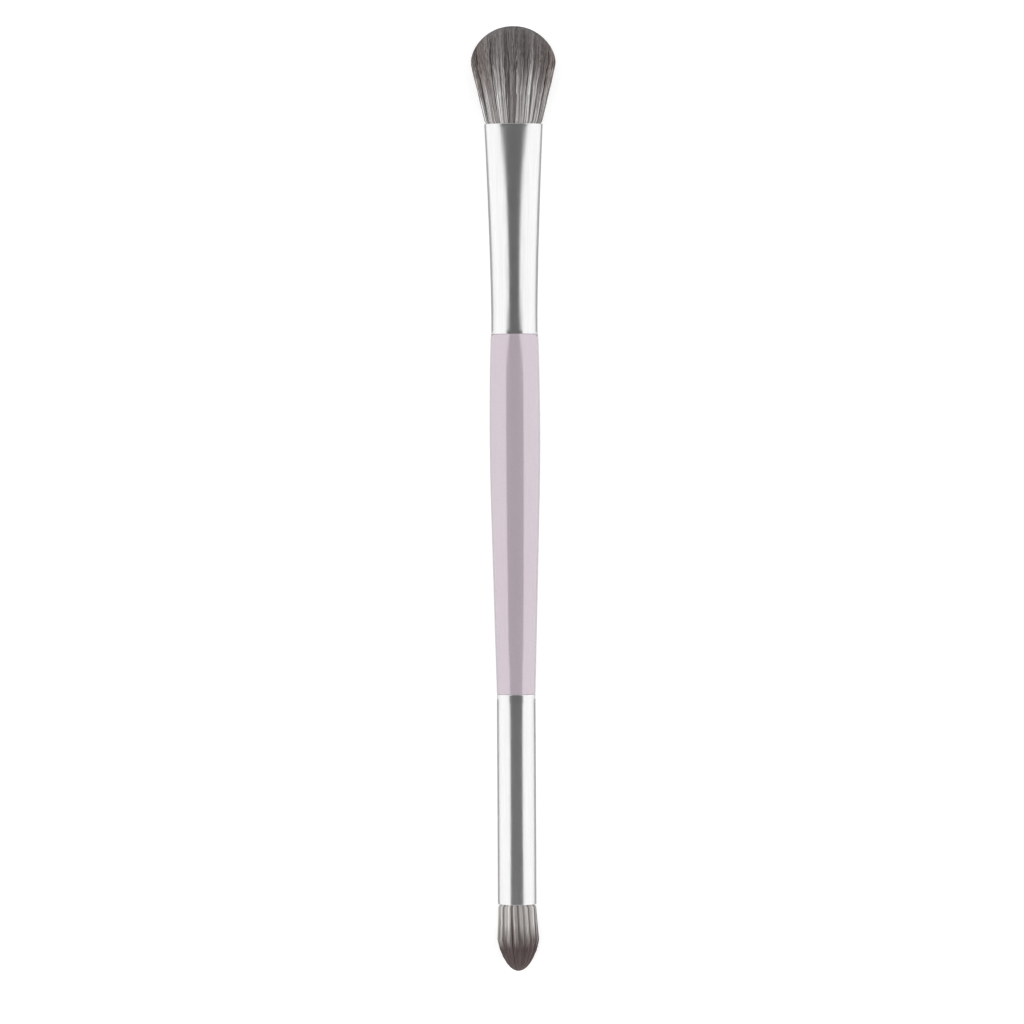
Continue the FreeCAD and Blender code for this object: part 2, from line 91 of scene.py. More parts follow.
# meshes
def mesh_object(name, points, faces):
    """A smooth object from upright points in millimetres, laid down with the brush."""
    mesh = bpy.data.meshes.new(name)
    mesh.from_pydata([tuple(p) for p in points], [], faces)
    mesh.transform(LAY)
    mesh.update()
    mesh.polygons.foreach_set("use_smooth", [True] * len(mesh.polygons))
    piece = bpy.data.objects.new(name, mesh)
    bpy.context.scene.collection.objects.link(piece)
    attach(piece, "root")
    return piece


def ovals(name, rings, sides=160, closed=False):
    """A skin through ovals (station, half width, half thickness), capped or run round."""
    angles = np.linspace(0, 2 * math.pi, sides, endpoint=False)
    points = []
    for station, wide, thick in rings:
        points.extend(
            (wide * math.cos(a), thick * math.sin(a), station) for a in angles
        )
    faces = []
    last = len(rings) if closed else len(rings) - 1
    for row in range(last):
        low, high = row * sides, (row + 1) % len(rings) * sides
        for k in range(sides):
            step = (k + 1) % sides
            faces.append((low + k, low + step, high + step, high + k))
    if not closed:
        faces.append(tuple(reversed(range(sides))))
        faces.append(tuple(range((len(rings) - 1) * sides, len(rings) * sides)))
    return mesh_object(name, points, faces)


def rounded(radius, centre, start, end, steps=6):
    """Points (station, radius) on a quarter round between two angles in degrees."""
    return [
        (
            centre[0] + radius * math.sin(math.radians(a)),
            centre[1] + radius * math.cos(math.radians(a)),
        )
        for a in np.linspace(start, end, steps)
    ]


# materials
def srgb(*rgb):
    """Linear colour from 0-255 values as seen on a screen."""
    out = []
    for value in rgb:
        c = value / 255
        out.append(c / 12.92 if c <= 0.04045 else ((c + 0.055) / 1.055) ** 2.4)
    return (*out, 1.0)


def shader(name):
    material = bpy.data.materials.new(name)
    material.use_nodes = True
    nodes, links = material.node_tree.nodes, material.node_tree.links
    return material, nodes, links, nodes["Principled BSDF"]


def noise(nodes, links, scale, stretch=(1, 1, 1), detail=3.0, rough=0.55):
    """Noise that lies in the piece in metres, finer where the stretch is larger."""
    place = nodes.new("ShaderNodeTexCoord")
    mapping = nodes.new("ShaderNodeMapping")
    mapping.inputs["Scale"].default_value = stretch
    texture = nodes.new("ShaderNodeTexNoise")
    texture.inputs["Scale"].default_value = scale
    texture.inputs["Detail"].default_value = detail
    texture.inputs["Roughness"].default_value = rough
    links.new(place.outputs["Object"], mapping.inputs["Vector"])
    links.new(mapping.outputs["Vector"], texture.inputs["Vector"])
    return texture.outputs["Fac"]


def spread(nodes, links, fac, low, high, start=0.3, end=0.7):
    """Maps noise to a range of numbers."""
    span = nodes.new("ShaderNodeMapRange")
    span.inputs["From Min"].default_value = start
    span.inputs["From Max"].default_value = end
    span.inputs["To Min"].default_value = low
    span.inputs["To Max"].default_value = high
    links.new(fac, span.inputs["Value"])
    return span.outputs["Result"]


def two_tones(nodes, links, fac, first, second, start=0.35, end=0.65):
    ramp = nodes.new("ShaderNodeValToRGB")
    ramp.color_ramp.elements[0].position = start
    ramp.color_ramp.elements[1].position = end
    ramp.color_ramp.elements[0].color = first
    ramp.color_ramp.elements[1].color = second
    links.new(fac, ramp.inputs["Fac"])
    return ramp.outputs["Color"]


def bump(nodes, links, bsdf, fac, strength, distance):
    node = nodes.new("ShaderNodeBump")
    node.inputs["Strength"].default_value = strength
    node.inputs["Distance"].default_value = distance
    links.new(fac, node.inputs["Height"])
    links.new(node.outputs["Normal"], bsdf.inputs["Normal"])


def make_metal():
    """Drawn aluminium, polished: faint lines along the tube and soft wear."""
    material, nodes, links, bsdf = shader("drawn_aluminium")
    lines = noise(nodes, links, 1.0, (5200, 60, 5200), 4.0)
    wear = noise(nodes, links, 260.0, (1, 1, 1), 5.0)
    tone = two_tones(nodes, links, lines, srgb(245, 245, 246), srgb(252, 252, 252))
    links.new(tone, bsdf.inputs["Base Color"])
    links.new(spread(nodes, links, wear, 0.19, 0.25), bsdf.inputs["Roughness"])
    bump(nodes, links, bsdf, lines, 0.012, 0.00002)
    bsdf.inputs["Metallic"].default_value = 1.0
    return material


def make_lacquer():
    """Pearly lilac lacquer with fine metal flakes under a clear coat, on turned wood."""
    material, nodes, links, bsdf = shader("pearly_lilac_lacquer")
    flakes = noise(nodes, links, 5200.0, (1, 1, 1), 2.0)
    cloud = noise(nodes, links, 90.0, (1, 0.35, 1), 3.0)
    pearl = two_tones(nodes, links, flakes, srgb(195, 181, 191), srgb(206, 194, 202))
    drift = two_tones(nodes, links, cloud, srgb(198, 184, 194), srgb(203, 191, 199))
    blend = nodes.new("ShaderNodeMix")
    blend.data_type = "RGBA"
    blend.inputs["Factor"].default_value = 0.5
    links.new(pearl, blend.inputs["A"])
    links.new(drift, blend.inputs["B"])
    links.new(blend.outputs["Result"], bsdf.inputs["Base Color"])
    links.new(spread(nodes, links, flakes, 0.12, 0.18), bsdf.inputs["Roughness"])
    bump(nodes, links, bsdf, cloud, 0.01, 0.0001)
    bsdf.inputs["Metallic"].default_value = 0.40
    bsdf.inputs["Coat Weight"].default_value = 1.0
    bsdf.inputs["Coat Roughness"].default_value = 0.03
    bsdf.inputs["Coat IOR"].default_value = 1.5
    return material


def make_hair(name):
    """Soft hair: its own colour along each strand, with a fine mottle."""
    material, nodes, links, bsdf = shader(name)
    own = nodes.new("ShaderNodeVertexColor")
    own.layer_name = "Color"
    mottle = noise(nodes, links, 1.0, (6000, 700, 6000), 2.0)
    tint = two_tones(nodes, links, mottle, (0.86, 0.86, 0.86, 1), (1.0, 1.0, 1.0, 1))
    product = nodes.new("ShaderNodeMix")
    product.data_type = "RGBA"
    product.blend_type = "MULTIPLY"
    product.inputs["Factor"].default_value = 1.0
    links.new(own.outputs["Color"], product.inputs["A"])
    links.new(tint, product.inputs["B"])
    links.new(product.outputs["Result"], bsdf.inputs["Base Color"])
    links.new(spread(nodes, links, mottle, 0.38, 0.52), bsdf.inputs["Roughness"])
    bsdf.inputs["Specular IOR Level"].default_value = 0.45
    bsdf.inputs["Sheen Weight"].default_value = 0.15
    bsdf.inputs["Sheen Roughness"].default_value = 0.4
    return material


def make_thread():
    material, nodes, links, bsdf = shader("tie_thread")
    twist = noise(nodes, links, 1.0, (3000, 9000, 3000), 3.0)
    tone = two_tones(nodes, links, twist, srgb(196, 190, 176), srgb(226, 222, 210))
    links.new(tone, bsdf.inputs["Base Color"])
    bump(nodes, links, bsdf, twist, 0.5, 0.00005)
    bsdf.inputs["Roughness"].default_value = 0.85
    return material


def make_glue():
    material, nodes, links, bsdf = shader("set_glue")
    cloud = noise(nodes, links, 700.0, (1, 1, 1), 4.0)
    tone = two_tones(nodes, links, cloud, srgb(206, 184, 128), srgb(224, 206, 156))
    links.new(tone, bsdf.inputs["Base Color"])
    links.new(spread(nodes, links, cloud, 0.3, 0.5), bsdf.inputs["Roughness"])
    bump(nodes, links, bsdf, cloud, 0.2, 0.0001)
    return material


def give(piece, material):
    piece.data.materials.clear()
    piece.data.materials.append(material)


# handle and ferrules
metal, lacquer = make_metal(), make_lacquer()


def handle_radius(station):
    """Straight taper from the foot, running into the long arc of the belly."""
    belly, run, crest = HANDLE_SHOULDER - 18.0, 15.0, 4.8
    arc = run * (belly - HANDLE_FOOT - run / 2) / (crest - TIP_R)
    if station < belly - run:
        top = crest - arc + math.sqrt(arc ** 2 - run ** 2)
        return TIP_R + (top - TIP_R) * (station - HANDLE_FOOT) / (belly - run - HANDLE_FOOT)
    return crest - arc + math.sqrt(arc ** 2 - (station - belly) ** 2)


def make_handle():
    """The turned handle with rounded edges, and the spigots that go into the ferrules."""
    edge, seat = 0.14, 0.1
    tip_spigot, head_spigot = TIP_R - WALL - GLUE_LINE, TUBE_R - WALL - GLUE_LINE
    tip_end, head_end = HANDLE_FOOT - TIP_SPIGOT, HANDLE_SHOULDER + HEAD_SPIGOT
    outline = [
        (tip_end, tip_spigot - SPIGOT_BEVEL),
        (tip_end + SPIGOT_BEVEL, tip_spigot),
        (HANDLE_FOOT, tip_spigot),
        (HANDLE_FOOT, TIP_R - edge - seat),
    ]
    foot, shoulder = handle_radius(HANDLE_FOOT), handle_radius(HANDLE_SHOULDER)
    outline += rounded(edge, (HANDLE_FOOT + edge, foot - edge), -90, 0)
    outline += [
        (s, handle_radius(s))
        for s in np.linspace(HANDLE_FOOT + edge, HANDLE_SHOULDER - edge, 90)[1:-1]
    ]
    outline += rounded(edge, (HANDLE_SHOULDER - edge, shoulder - edge), 0, 90)
    outline += [
        (HANDLE_SHOULDER, shoulder - edge - seat),
        (HANDLE_SHOULDER, head_spigot),
        (head_end - SPIGOT_BEVEL, head_spigot),
        (head_end, head_spigot - SPIGOT_BEVEL),
    ]
    piece = ovals("lacquered_handle", [(s, r, r) for s, r in outline])
    give(piece, lacquer)
    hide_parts("handle")


def pressed(station):
    """Half width and half thickness of the pressed tube, which keeps its girth."""
    share = min(max((station - PRESS_START) / PRESS_LENGTH, 0.0), 1.0)
    out = SPREAD * share ** PRESS_EASE
    return TUBE_R + out, TUBE_R - (out + out ** 2 / (2 * TUBE_R))


def make_tube(name, low, high, size_at, node, rows):
    """A thin tube with rounded rims: up its outside and back down its bore."""
    rim = 0.12
    rings = []
    stations = list(np.linspace(low + rim, high - rim, rows))
    turn = [math.radians(a) for a in (0, 25, 50, 75, 90)]

    def add(station, inset):
        wide, thick = size_at(station)
        rings.append((station, wide - inset, thick - inset))

    for a in reversed(turn):
        add(low + rim - rim * math.sin(a), rim - rim * math.cos(a))
    for station in stations[1:-1]:
        add(station, 0.0)
    for a in turn:
        add(high - rim + rim * math.sin(a), rim - rim * math.cos(a))
    for a in reversed(turn):
        add(high - rim + rim * math.sin(a), WALL - rim + rim * math.cos(a))
    for station in reversed(stations[1:-1]):
        add(station, WALL)
    for a in turn:
        add(low + rim - rim * math.sin(a), WALL - rim + rim * math.cos(a))
    piece = ovals(name, rings, sides=192, closed=True)
    give(piece, metal)
    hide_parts(node)


make_handle()
make_tube("oval_ferrule", HANDLE_SHOULDER, HEAD_MOUTH, pressed, "head_ferrule", 56)
make_tube("round_ferrule", TIP_MOUTH, HANDLE_FOOT, lambda s: (TIP_R, TIP_R), "tip_ferrule", 24)

thread, glue = make_thread(), make_glue()
for node in ("head_tie_thread", "tip_tie_thread"):
    give(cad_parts[node], thread)
for node in ("head_glue_plug", "tip_glue_plug"):
    give(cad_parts[node], glue)


# hair
def smooth(x, start, end):
    t = np.clip((x - start) / (end - start), 0, 1)
    return t * t * (3 - 2 * t)


def mix(a, b, t):
    return a + (b - a) * t


def head_form(h):
    """Half width and half thickness of the fluffy tuft at heights above the lip."""
    rise = np.clip(h / COLLAR_RISE, 0, 1)
    wide = np.where(
        h < COLLAR_RISE,
        mix(MOUTH_WIDE, COLLAR_WIDE, rise * (2 - rise)),
        mix(COLLAR_WIDE, SHOULDER_WIDE, np.clip((h - COLLAR_RISE) / (FAN_TOP - COLLAR_RISE), 0, 1)),
    )
    round_start, fullness, roundness, bluntness = 10.6, 1.7, 1.7, 0.48
    wide = np.where(h > FAN_TOP, mix(SHOULDER_WIDE, HALF_WIDE, smooth(h, round_start, FLARE)), wide)
    up = np.clip(h / FLARE, 0, 1)
    thick = mix(MOUTH_THICK, HALF_THICK, 1 - (1 - up) ** fullness)
    over = np.clip((h - FLARE) / DOME, 0, 1)
    dome = (1 - over ** roundness) ** bluntness
    return wide * dome, thick * dome


def head_fan(h):
    """How far out the outermost hairs stand, if nothing were cut off for the dome."""
    slope = 0.08
    wide, _ = head_form(np.minimum(h, FLARE))
    return wide + slope * np.maximum(h - FLARE, 0)


def bullet_form(h):
    """Half width and half thickness of the bullet tuft at heights below the lip."""
    lip_end, roundness, bluntness = 0.5, 1.3, 0.5
    lip = mix(TIP_HAIR, LIP_HAIR, smooth(h, -0.1, 0.6))
    share = np.clip((h - lip_end) / (SHOULDER - lip_end), 0, 1)
    wide = np.where(h > lip_end, mix(LIP_HAIR, BULLET_R, share), lip)
    along = np.clip((TIP_MOUTH - h) / NOSE, 0, 1)
    wide = wide * (1 - (1 - along) ** roundness) ** bluntness
    return wide, wide


def bullet_fan(h):
    return bullet_form(h)[0]


def lock_centres(rng, spacing):
    """Points spread evenly over a disc, a little off a triangular grid."""
    row_gap, stray, reach_squared = 0.866, 0.22, 1.08
    points = []
    rows = int(1 / (spacing * row_gap)) + 1
    for j in range(-rows, rows + 1):
        for i in range(-rows, rows + 1):
            u = (i + 0.5 * (j % 2)) * spacing + rng.normal(0, spacing * stray)
            v = j * spacing * row_gap + rng.normal(0, spacing * stray)
            if u * u + v * v < reach_squared:
                points.append((u, v))
    return np.array(points)


def locks_of(seed, spacing, rise_low, rise_high, ring=0):
    """Locks of hair: where each stands, how light it is and how high its light end runs.

    With a ring, that many of them stand evenly round the skin."""
    rng = np.random.default_rng(seed)
    at = lock_centres(rng, spacing)
    if ring:
        reach, room, stray = 0.93, 0.75, 0.22
        inside = at[np.hypot(at[:, 0], at[:, 1]) < reach - room * spacing]
        turns = (np.arange(ring) + rng.uniform(-stray, stray, ring)) * 2 * math.pi / ring
        at = np.vstack([inside, reach * np.column_stack([np.cos(turns), np.sin(turns)])])
    n = len(at)
    middle_width = 0.45
    middle = np.exp(-(at[:, 0] / middle_width) ** 2)
    return {
        "at": at,
        "spacing": spacing,
        "hold": rng.uniform(0.35, 1.0, n),
        "tone": np.clip(rng.beta(1.5, 1.4, n) * 1.15, 0, 1.1),
        "sway": rng.normal(0, 0.10, n),
        "rise": rng.uniform(rise_low, rise_high, n) * (0.7 + 0.6 * middle),
        "warm": rng.uniform(0, 1, n) ** 2,
    }


BRIGHTEST = 0.95


def tones(*rgb):
    return np.array(srgb(*rgb)[:3])


def depth_shade(h, hair):
    """Darker inside the tuft, but for the ends of the inner hairs, which show at the dome."""
    deepest, shown = 0.42, 3.0
    inside = deepest + (1 - deepest) * smooth(hair["reach"], 0.72, 0.93)
    return mix(inside, 1.0, smooth(h, h[:, -1:] - shown, h[:, -1:]))


def head_colour(rng, h, hair, locks):
    """Light at the root, taupe grey towards the ends, in streaks that rise by lock, with painted
    shade darkening the hairs in the grooves between locks.
    """
    light, dark = tones(232, 229, 227), tones(104, 98, 97)
    tip, brown = tones(112, 106, 106), tones(136, 116, 106)
    lift, groove_shade_from, groove_shade_depth = 0.07, 0.3, 1.6
    greyed, warmed, pale_share, paler = 0.7, 0.5, 0.07, 1.55
    by_hair, by_wisp, balance = 0.27, 0.30, -0.03
    lock, u, off = hair["lock"], hair["u"], hair["off"]
    rise = locks["rise"][lock][:, None]
    fade = smooth(h, rise * 0.35, rise * 1.75)
    one = rng.normal(0, 0.14, u.shape)
    # Painted shade: hairs far from the middle of their lock turn darker, as if shaded in the groove
    # between locks.
    lit = locks["tone"][lock][:, None] - groove_shade_depth * np.maximum(off - groove_shade_from, 0)
    lit = np.clip(lit + lift + one, 0, 1)
    base = mix(dark, light, (lit * (1 - fade))[..., None])
    base = mix(base, tip, (greyed * smooth(h, 6, 15))[..., None])
    warm = warmed * rng.random(u.shape) * smooth(np.abs(u), 0.45, 0.9) * smooth(h, 3, 9)
    base = mix(base, brown, warm[..., None])
    inner = depth_shade(h, hair)
    own = np.exp(rng.normal(0, by_hair, u.shape) + by_wisp * hair["wisp"] + balance)
    own = np.where(rng.random(u.shape) < pale_share, own * paler, own)
    return np.clip(base * (inner * own)[..., None], 0, BRIGHTEST)


def bullet_colour(rng, h, hair, locks):
    """Pale locks with painted shade in the grooves between them, and dark brown ends with a sharp
    change of colour.
    """
    # The second colour is painted shade, the dark of the gaps between locks.
    light, groove_shade, tip = tones(222, 219, 216), tones(120, 110, 108), tones(95, 80, 79)
    lift, tone_share, side_share = 0.55, 0.32, 0.25
    groove_shade_from, groove_shade_depth, dulled = 0.36, 3.4, 0.12
    change_at, later_by_lock, blend = 6.35, 0.8, 1.0
    by_hair, by_wisp = 0.08, 0.13
    lock, u, off = hair["lock"], hair["u"], hair["off"]
    one = rng.normal(0, 0.10, u.shape)
    lit = lift + tone_share * locks["tone"][lock][:, None] + side_share * np.abs(u)
    # Painted shade: hairs far from the middle of their lock are pulled towards the dark colour of
    # the grooves.
    lit = np.clip(lit - groove_shade_depth * np.maximum(off - groove_shade_from, 0) + one, 0, 1)
    fall = 1 - dulled * smooth(h, 2.0, 6.5)
    base = mix(groove_shade, light, (lit * fall)[..., None])
    later = later_by_lock * locks["warm"][lock][:, None]
    change = change_at + later + rng.normal(0, 0.3, u.shape)
    base = mix(base, tip, smooth(h, change - blend, change + blend)[..., None])
    inner = depth_shade(h, hair)
    own = np.exp(rng.normal(0, by_hair, u.shape) + by_wisp * hair["wisp"])
    return np.clip(base * (inner * own)[..., None], 0, BRIGHTEST)


SIDES = 3
HAIRS_IN_A_PIECE = 3300
WISP_SEED, RIM_SEED, HEAD_SEED, BULLET_SEED = 77, 91, 100, 200
# how far out a hair of the skin stands, and the share of the half width that none passes
SKIN_LOW, SKIN_HIGH = 0.90, 0.993
EDGE = 0.995

# In each tuft, fixed are the heights of a hair's first rows, and shares place the rest
# between the last of those and its end. Lengths are in millimetres.
HEAD = {
    "form": head_form,
    "fan": head_fan,
    "colour": head_colour,
    "locks": locks_of(11, 0.078, 6.0, 13.0),
    "wisps": lock_centres(np.random.default_rng(41), 0.042),
    "fixed": (-1.0, 0.0, 0.45),
    "shares": (0.27, 0.48, 0.62, 0.73, 0.83, 0.91, 0.97, 1.0),
    "top": 18.57,
    "gather": 0.5,
    "crimp": 0.11,
    "radius": 0.063,
    "drift": 0.0,
    "up": True,
}
BULLET = {
    "form": bullet_form,
    "fan": bullet_fan,
    "colour": bullet_colour,
    "locks": locks_of(23, 0.245, 6.0, 8.0, 22),
    "wisps": lock_centres(np.random.default_rng(43), 0.08),
    "fixed": (-1.2, 0.0, 0.6, 3.8, 6.8),
    "shares": (0.30, 0.56, 0.77, 0.90, 0.97, 1.0),
    "top": 12.79,
    "gather": 0.22,
    "crimp": 0.02,
    "radius": 0.052,
    "drift": 0.2,
    "up": False,
}


def roots(rng, count, tuft):
    """Where each hair stands in the tuft, and the lock that it belongs to."""
    skin_share, inner_reach = 0.66, 0.93
    skin = rng.random(count) < skin_share
    outer = rng.uniform(SKIN_LOW, SKIN_HIGH, count)
    reach = np.where(skin, outer, inner_reach * np.sqrt(rng.random(count)))
    turn = rng.uniform(0, 2 * math.pi, count)
    u, v = reach * np.cos(turn), reach * np.sin(turn)
    at = tuft["locks"]["at"]
    gap = (u[:, None] - at[None, :, 0]) ** 2 + (v[:, None] - at[None, :, 1]) ** 2
    lock = np.argmin(gap, axis=1)
    off = np.sqrt(gap[np.arange(count), lock]) / tuft["locks"]["spacing"]
    fine = tuft["wisps"]
    gap = (u[:, None] - fine[None, :, 0]) ** 2 + (v[:, None] - fine[None, :, 1]) ** 2
    nearest = np.argmin(gap, axis=1)
    dice = np.random.default_rng(WISP_SEED)
    shade, phase = dice.normal(0, 1, len(fine)), dice.uniform(0, 2 * math.pi, len(fine))
    return {
        "skin": skin,
        "reach": reach[:, None],
        "u": u[:, None],
        "v": v[:, None],
        "lock": lock,
        "off": off[:, None],
        "wisp": shade[nearest][:, None],
        "phase": phase[nearest][:, None],
    }


def run_of(rng, count, tuft, hair):
    """The middle line of each hair: straight in the fan, and following the skin."""
    # A hair ends where the fan leaves the form. Some of the inner ones are shorter.
    rim_share, uneven, short_share, shorter, least = 0.9992, 0.06, 0.4, 2.5, 0.3
    heights = np.linspace(0.5, tuft["top"], 300)
    wide, _ = tuft["form"](heights)
    fan = tuft["fan"](heights)
    outside = np.abs(hair["u"]) * fan > rim_share * wide
    first = np.where(outside.any(axis=1), outside.argmax(axis=1), len(heights) - 1)
    end = heights[first] - rng.exponential(uneven, count)
    short = ~hair["skin"] & (rng.random(count) < short_share)
    end = np.where(short, end - rng.uniform(0, shorter, count), end)

    # The rows of one hair don't stand level with its neighbours'.
    fixed = np.array(tuft["fixed"])
    shares = np.array(tuft["shares"]) ** rng.uniform(0.85, 1.18, (count, 1))
    end = np.maximum(end, fixed[-1] + least)
    above = fixed[-1] + (end[:, None] - fixed[-1]) * shares
    h = np.hstack([np.tile(fixed, (count, 1)), above])

    # Hairs gather towards the middle of their lock, most of all half way up.
    locks, lock = tuft["locks"], hair["lock"]
    pull = np.sin(math.pi * np.clip((h + 0.3) / (tuft["top"] * 0.85), 0, 1))
    pull = tuft["gather"] * pull * locks["hold"][lock][:, None]
    u = mix(hair["u"], locks["at"][lock, 0][:, None], pull)
    v = mix(hair["v"], locks["at"][lock, 1][:, None], pull)
    # A hair of the skin mostly stays in the skin while its lock gathers.
    hold_out = 0.8
    grow = np.where(hair["skin"][:, None], hair["reach"] / np.sqrt(u ** 2 + v ** 2), 1.0)
    grow = 1 + hold_out * (grow - 1)
    u, v = u * grow, v * grow
    size = np.maximum(np.sqrt(u ** 2 + v ** 2) / SKIN_HIGH, 1)
    u, v = u / size, v / size

    # Each hair has a slight bend of its own, and a wisp's hairs are crimped together.
    own_bend, own_turn, crimp_turn = 0.04, 0.9, 1.25
    wave = rng.uniform(0, 2 * math.pi, (count, 1))
    bend = own_bend * np.sin(h * own_turn + wave) + locks["sway"][lock][:, None]
    bend = bend + tuft["crimp"] * np.sin(h * crimp_turn + hair["phase"])
    x = u * tuft["fan"](h) + bend * smooth(h, 0.5, 8)

    tiny, tuck = 1e-3, 0.55 * tuft["radius"]
    wide, thick = tuft["form"](h)
    across = np.clip(x / np.maximum(wide, tiny), -EDGE, EDGE)
    x = across * wide
    depth = np.clip(v / np.sqrt(np.maximum(1 - u ** 2, tiny)), -1, 1)
    y = depth * (thick - tuck) * np.sqrt(1 - across ** 2)
    # At the rim the hairs of both faces fill the middle and cross it a little.
    cross = np.random.default_rng(RIM_SEED).uniform(0, 1.3, (count, 1))
    y = y * (1 - smooth(np.abs(across), 0.90, 0.99) * cross)
    return h, x + tuft["drift"] * smooth(h, 0, 8), y


def strands(name, count, seed, tuft, material):
    """Thousands of tapered hairs in locks, as one mesh with a colour along each hair."""
    rng = np.random.default_rng(seed)
    hair = roots(rng, count, tuft)
    h, x, y = run_of(rng, count, tuft, hair)
    rows = h.shape[1]
    share = np.linspace(0, 1, rows)
    thinned, late = 0.7, 4
    taper = 1 - thinned * share ** late
    girth = tuft["radius"] * rng.uniform(0.8, 1.2, (count, 1)) * taper
    spin = rng.uniform(0, 2 * math.pi, (count, 1, 1)) + np.arange(SIDES) * 2 * math.pi / SIDES
    px = x[:, :, None] + girth[:, :, None] * np.cos(spin)
    py = y[:, :, None] + girth[:, :, None] * np.sin(spin)
    station = HEAD_MOUTH + h if tuft["up"] else TIP_MOUTH - h
    pz = np.broadcast_to(station[:, :, None], px.shape)
    points = np.stack([px, py, pz], axis=-1).reshape(-1, 3)

    low = np.arange(rows - 1)[:, None] * SIDES + np.arange(SIDES)
    beside = np.arange(rows - 1)[:, None] * SIDES + (np.arange(SIDES) + 1) % SIDES
    quad = np.stack([low, beside, beside + SIDES, low + SIDES], axis=-1).reshape(-1, 4)
    if not tuft["up"]:
        quad = quad[:, ::-1]
    quads = (np.arange(count)[:, None, None] * rows * SIDES + quad[None]).reshape(-1, 4)

    mesh = bpy.data.meshes.new(name)
    mesh.vertices.add(len(points))
    mesh.vertices.foreach_set("co", points.astype(np.float32).ravel())
    mesh.loops.add(quads.size)
    mesh.loops.foreach_set("vertex_index", quads.astype(np.int32).ravel())
    mesh.polygons.add(len(quads))
    mesh.polygons.foreach_set("loop_start", np.arange(0, quads.size, 4, dtype=np.int32))
    mesh.update(calc_edges=True)
    mesh.transform(LAY)
    mesh.polygons.foreach_set("use_smooth", np.ones(len(quads), dtype=bool))

    rgba = np.ones((count, rows, SIDES, 4), dtype=np.float32)
    rgba[..., :3] = tuft["colour"](rng, h, hair, tuft["locks"])[:, :, None, :]
    layer = mesh.color_attributes.new("Color", "FLOAT_COLOR", "POINT")
    layer.data.foreach_set("color", rgba.reshape(-1))
    mesh.color_attributes.active_color = layer
    mesh.update()
    piece = bpy.data.objects.new(name, mesh)
    bpy.context.scene.collection.objects.link(piece)
    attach(piece, "root")
    give(piece, material)
    return piece


def heart(name, tuft, heights, tone, material):
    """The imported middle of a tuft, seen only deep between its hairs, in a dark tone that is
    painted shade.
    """
    share, least = 0.80, 0.05
    wide, thick = tuft["form"](np.array(heights))
    rings = []
    for height, w, t in zip(heights, wide, thick):
        station = HEAD_MOUTH + height if tuft["up"] else TIP_MOUTH - height
        rings.append((station, max(w * share, least), max(t * share, least)))
    if not tuft["up"]:
        rings.reverse()
    piece = ovals(name, rings, sides=96)
    layer = piece.data.color_attributes.new("Color", "FLOAT_COLOR", "POINT")
    layer.data.foreach_set("color", np.tile(tone, len(piece.data.vertices)).astype(np.float32))
    give(piece, material)


head_hair, tip_hair = make_hair("fluffy_hair"), make_hair("bullet_hair")
for part in range(3):
    name, seed = f"fluffy_hair_{part + 1}", HEAD_SEED + part
    piece = strands(name, HAIRS_IN_A_PIECE, seed, HEAD, head_hair)
    if part == 0:
        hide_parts("head_tuft")
piece = strands("bullet_hair_1", HAIRS_IN_A_PIECE, BULLET_SEED, BULLET, tip_hair)
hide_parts("tip_tuft")
# The dark tones of both hearts are painted shade deep inside the tufts.
heights = [-16, -3, *np.linspace(0, 15.5, 28)]
heart("fluffy_heart", HEAD, heights, srgb(78, 73, 72), head_hair)
heights = [-12, -3, *np.linspace(0, 11.2, 24)]
heart("bullet_heart", BULLET, heights, srgb(100, 90, 88), tip_hair)


# table, light, camera
def white_for_seeing(nodes, links, lit, seen, mirrored):
    """A strength for the light on things, one for the picture, and one for reflections."""
    rays = nodes.new("ShaderNodeLightPath")
    strength = None
    for kind, high in (
        ("Is Camera Ray", seen), ("Is Glossy Ray", mirrored), ("Is Transmission Ray", mirrored)
    ):
        span = nodes.new("ShaderNodeMapRange")
        span.inputs["To Min"].default_value = lit
        span.inputs["To Max"].default_value = high
        links.new(rays.outputs[kind], span.inputs["Value"])
        if strength is None:
            strength = span.outputs["Result"]
            continue
        either = nodes.new("ShaderNodeMath")
        either.operation = "MAXIMUM"
        links.new(strength, either.inputs[0])
        links.new(span.outputs["Result"], either.inputs[1])
        strength = either.outputs["Value"]
    return strength


def make_floor():
    """The white table, a plain square that keeps the brush's shadow."""
    mesh = bpy.data.meshes.new("table_top")
    half = 3.0
    corners = [(-half, -half, 0), (half, -half, 0), (half, half, 0), (-half, half, 0)]
    mesh.from_pydata(corners, [], [(0, 1, 2, 3)])
    floor = bpy.data.objects.new("table_top", mesh)
    bpy.context.scene.collection.objects.link(floor)
    material, nodes, links, bsdf = shader("white_table")
    bsdf.inputs["Base Color"].default_value = (0.84, 0.84, 0.84, 1)
    bsdf.inputs["Roughness"].default_value = 0.9
    bsdf.inputs["Specular IOR Level"].default_value = 0.0
    bsdf.inputs["Emission Color"].default_value = (1, 1, 1, 1)
    glow = white_for_seeing(nodes, links, lit=0.0, seen=0.38, mirrored=0.04)
    links.new(glow, bsdf.inputs["Emission Strength"])
    give(floor, material)


def make_card(name, outline, glow):
    """A card that only reflections see, with an even grey glow."""
    mesh = bpy.data.meshes.new(name)
    left = [(-half, y, z) for half, y, z in outline]
    right = [(half, y, z) for half, y, z in outline]
    faces = [(k, len(outline) + k, len(outline) + k + 1, k + 1) for k in range(len(outline) - 1)]
    mesh.from_pydata(left + right, [], faces)
    card = bpy.data.objects.new(name, mesh)
    bpy.context.scene.collection.objects.link(card)
    material, nodes, links, bsdf = shader(name)
    bsdf.inputs["Base Color"].default_value = (0.0, 0.0, 0.0, 1)
    bsdf.inputs["Specular IOR Level"].default_value = 0.0
    bsdf.inputs["Emission Color"].default_value = (1, 1, 1, 1)
    bsdf.inputs["Emission Strength"].default_value = glow
    give(card, material)
    card.visible_camera = False
    card.visible_diffuse = False
    card.visible_shadow = False
    card.visible_transmission = False


